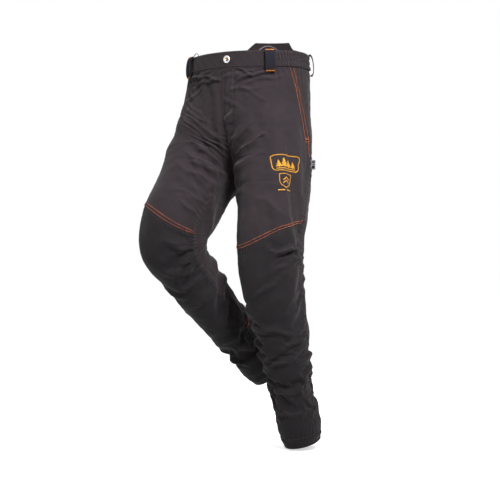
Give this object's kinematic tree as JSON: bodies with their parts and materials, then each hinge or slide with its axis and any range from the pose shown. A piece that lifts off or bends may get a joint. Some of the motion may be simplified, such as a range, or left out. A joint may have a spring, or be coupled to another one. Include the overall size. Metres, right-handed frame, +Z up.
{
  "type": "chainsaw protective trousers",
  "caption": "Padded forestry work trousers in a worn shape, one knee raised, with waistband, belt loops, fly, pockets and lined legs.",
  "frame": {"origin": "centre of the waist opening, level with the front edge of the waistband", "axes": "+Z up, -Y to the wearer's front, +X to the wearer's left"},
  "size_m": [0.4333, 0.4216, 1.1039],
  "materials": {
    "anthracite_cloth": "matte twill",
    "dark_cloth": "matte heavy weave",
    "webbing": "ribbed webbing",
    "cord": "round cord",
    "button_metal": "satin",
    "zip_metal": "satin",
    "tape": "woven tape",
    "elastic": "ruched elastic",
    "protection": "layered long-fibre knit",
    "lining": "smooth lining",
    "print_yellow": "transfer print",
    "label": "woven label"
  },
  "bodies": {
    "hips": {"waistband_front_left": "anthracite_cloth", "waistband_front_right": "anthracite_cloth", "waistband_back": "anthracite_cloth", "waist_elastic": "elastic", "kidney_flap": "anthracite_cloth", "belt_loop_front_left": "webbing", "belt_loop_front_right": "webbing", "belt_loop_side_left": "webbing", "belt_loop_side_right": "webbing", "belt_loop_back": "webbing", "hanger_loops": "cord", "button_tack": "button_metal", "fly_placket": "anthracite_cloth", "fly_shield": "anthracite_cloth", "fly_zip_tapes": "tape", "fly_zip_teeth": "zip_metal", "front_yoke": "anthracite_cloth", "hip_front_left": "anthracite_cloth", "hip_front_right": "anthracite_cloth", "seat_left": "anthracite_cloth", "seat_right": "anthracite_cloth", "hip_crease_left": "anthracite_cloth", "hip_crease_right": "anthracite_cloth", "pocket_bag_left": "lining", "pocket_bag_right": "lining", "back_pocket": "anthracite_cloth"},
    "button": {"button_cap": "button_metal"},
    "zip_slider": {"fly_zip_slider": "zip_metal"},
    "zip_puller": {"fly_zip_puller": "zip_metal"},
    "pocket_flap": {"back_pocket_flap": "anthracite_cloth"},
    "thigh_left": {"front_thigh_left": "anthracite_cloth", "back_thigh_left": "anthracite_cloth", "thigh_pad_left": "protection", "thigh_lining_left": "lining", "knee_front_left": "dark_cloth", "knee_back_left": "anthracite_cloth", "knee_pad_left": "protection", "side_label": "label", "thigh_badge": "print_yellow", "shield_badge": "print_yellow"},
    "shin_left": {"shin_front_left": "dark_cloth", "calf_back_left": "anthracite_cloth", "ankle_back_left": "dark_cloth", "shin_pad_left": "protection", "shin_lining_left": "lining", "hem_band_left": "dark_cloth"},
    "thigh_right": {"front_thigh_right": "anthracite_cloth", "back_thigh_right": "anthracite_cloth", "thigh_pad_right": "protection", "thigh_lining_right": "lining", "knee_front_right": "dark_cloth", "knee_back_right": "anthracite_cloth", "knee_pad_right": "protection"},
    "shin_right": {"shin_front_right": "dark_cloth", "calf_back_right": "anthracite_cloth", "ankle_back_right": "dark_cloth", "shin_pad_right": "protection", "shin_lining_right": "lining", "hem_band_right": "dark_cloth"}
  },
  "joints": [
    {"name": "hip_left", "type": "hinge", "parent": "hips", "child": "thigh_left", "pos_m": [0.088, 0.005, -0.185], "axis": [1, 0, 0], "range_deg": [-12, 12], "deforming": ["hip_crease_left"]},
    {"name": "hip_right", "type": "hinge", "parent": "hips", "child": "thigh_right", "pos_m": [-0.088, 0.005, -0.185], "axis": [1, 0, 0], "range_deg": [-12, 12], "deforming": ["hip_crease_right"]},
    {"name": "knee_left", "type": "hinge", "parent": "thigh_left", "child": "shin_left", "pos_m": [0.11, -0.10513, -0.53859], "axis": [0.9921, -0.0881, 0.0892], "range_deg": [-27, 42], "deforming": ["knee_front_left", "knee_back_left", "knee_pad_left"]},
    {"name": "knee_right", "type": "hinge", "parent": "thigh_right", "child": "shin_right", "pos_m": [-0.13771, -0.19308, -0.49473], "axis": [0.9415, -0.3316, 0.061], "range_deg": [-45, 12], "deforming": ["knee_front_right", "knee_back_right", "knee_pad_right"]},
    {"name": "waist_button", "type": "hinge", "parent": "hips", "child": "button", "pos_m": [0.0135, -0.1396, -0.021], "axis": [0, -1, 0], "continuous": true},
    {"name": "fly_zip", "type": "slide", "parent": "hips", "child": "zip_slider", "axis": [0, 0, -1], "range_m": [0, 0.115]},
    {"name": "zip_puller", "type": "hinge", "parent": "zip_slider", "child": "zip_puller", "pos_m": [0, -0.1288, -0.0525], "axis": [-1, 0, 0], "range_deg": [0, 9]},
    {"name": "pocket_flap", "type": "hinge", "parent": "hips", "child": "pocket_flap", "pos_m": [-0.11722, 0.11438, -0.067], "axis": [0.7904, 0.6126, 0], "range_deg": [0, 100]}
  ]
}
